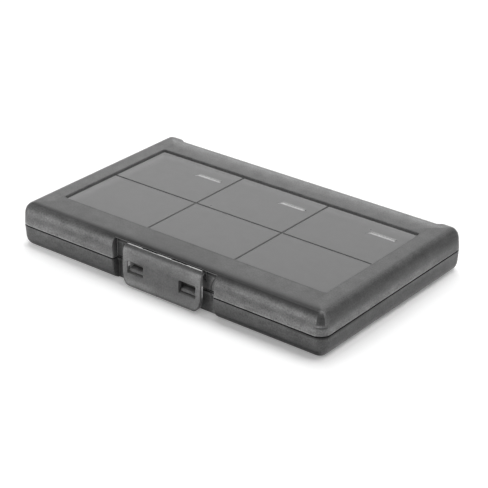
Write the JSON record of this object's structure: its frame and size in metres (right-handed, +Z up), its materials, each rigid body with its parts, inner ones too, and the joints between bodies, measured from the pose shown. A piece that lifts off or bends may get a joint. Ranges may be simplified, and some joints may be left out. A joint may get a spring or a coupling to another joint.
{
  "type": "game card case",
  "caption": "Slim clamshell case for small game cards: rear-hinged lid with a sunk tiled panel, pinned front snap latch, and moulded card trays in both halves.",
  "frame": {"origin": "middle of the flat underside, on the surface the closed case stands on", "axes": "+X along the length, +Y towards the rear hinge, +Z up through the lid"},
  "size_m": [0.15, 0.0969, 0.0183],
  "materials": {
    "base_plastic": "fine satin texture, dark smoke grey",
    "lid_plastic": "satin, translucent smoke grey",
    "latch_plastic": "satin, translucent smoke grey",
    "tray_plastic": "soft matte, charcoal",
    "pin_steel": "drawn steel wire"
  },
  "bodies": {
    "base": {"base_shell": "base_plastic", "base_tray": "tray_plastic", "hinge_pin_left": "pin_steel", "hinge_pin_right": "pin_steel"},
    "lid": {"lid_shell": "lid_plastic", "lid_tray": "tray_plastic", "latch_pin": "pin_steel"},
    "latch": {"latch": "latch_plastic"}
  },
  "joints": [
    {"name": "lid_hinge", "type": "hinge", "parent": "base", "child": "lid", "pos_m": [0, 0.0474, 0.0093], "axis": [-1, 0, 0], "range_deg": [0, 180]},
    {"name": "latch_hinge", "type": "hinge", "parent": "lid", "child": "latch", "pos_m": [0, -0.04442, 0.0153], "axis": [-1, 0, 0], "range_deg": [0, 95]}
  ]
}
